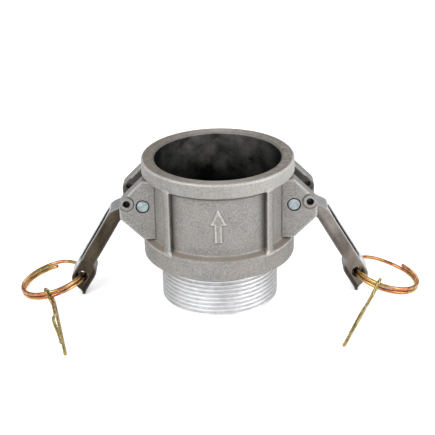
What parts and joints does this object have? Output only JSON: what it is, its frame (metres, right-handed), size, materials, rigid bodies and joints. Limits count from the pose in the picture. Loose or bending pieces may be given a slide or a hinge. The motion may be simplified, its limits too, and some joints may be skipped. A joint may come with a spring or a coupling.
{
  "type": "camlock coupling",
  "caption": "Cast cam and groove coupler with a male pipe thread, hinged cam arms, pull rings and hairpin safety clips.",
  "frame": {"origin": "centre of the thread's free end, on the coupler axis", "axes": "+Z along the coupler axis towards the mouth, +X towards the right-hand arm, -Y towards the front panel"},
  "size_m": [0.2076, 0.1056, 0.075],
  "materials": {
    "cast_aluminium": "as-cast and shot-blasted, thread machined bright",
    "gasket_rubber": "moulded nitrile rubber",
    "pin_steel": "clear zinc plate",
    "arm_steel": "investment cast stainless, tumbled",
    "ring_steel": "yellow zinc chromate",
    "clip_steel": "yellow zinc chromate, duller"
  },
  "bodies": {
    "coupler": {"coupler_body": "cast_aluminium", "gasket": "gasket_rubber", "left_pivot_pin": "pin_steel", "right_pivot_pin": "pin_steel"},
    "left_arm": {"left_cam_arm": "arm_steel"},
    "right_arm": {"right_cam_arm": "arm_steel"},
    "left_ring": {"left_pull_ring": "ring_steel"},
    "right_ring": {"right_pull_ring": "ring_steel"},
    "left_clip": {"left_safety_clip": "clip_steel"},
    "right_clip": {"right_safety_clip": "clip_steel"}
  },
  "joints": [
    {"name": "left_arm_hinge", "type": "hinge", "parent": "coupler", "child": "left_arm", "pos_m": [-0.0374, 0, 0.054], "axis": [0, 1, 0], "range_deg": [-30, 90]},
    {"name": "right_arm_hinge", "type": "hinge", "parent": "coupler", "child": "right_arm", "pos_m": [0.0374, 0, 0.054], "axis": [0, -1, 0], "range_deg": [-30, 90]},
    {"name": "left_ring_swing", "type": "hinge", "parent": "left_arm", "child": "left_ring", "pos_m": [-0.07081, 0, 0.01094], "axis": [0, 1, 0], "range_deg": [-40, 80]},
    {"name": "right_ring_swing", "type": "hinge", "parent": "right_arm", "child": "right_ring", "pos_m": [0.07081, 0, 0.01094], "axis": [0, -1, 0], "range_deg": [-40, 80]},
    {"name": "left_clip_swing", "type": "hinge", "parent": "left_ring", "child": "left_clip", "pos_m": [-0.0869, -0.01679, 0.00659], "axis": [-0.9648, 0.0349, -0.2606], "range_deg": [-15, 75]},
    {"name": "right_clip_swing", "type": "hinge", "parent": "right_ring", "child": "right_clip", "pos_m": [0.08, -0.01546, 0.00845], "axis": [-0.8887, 0.3907, 0.24], "range_deg": [-15, 75]}
  ]
}
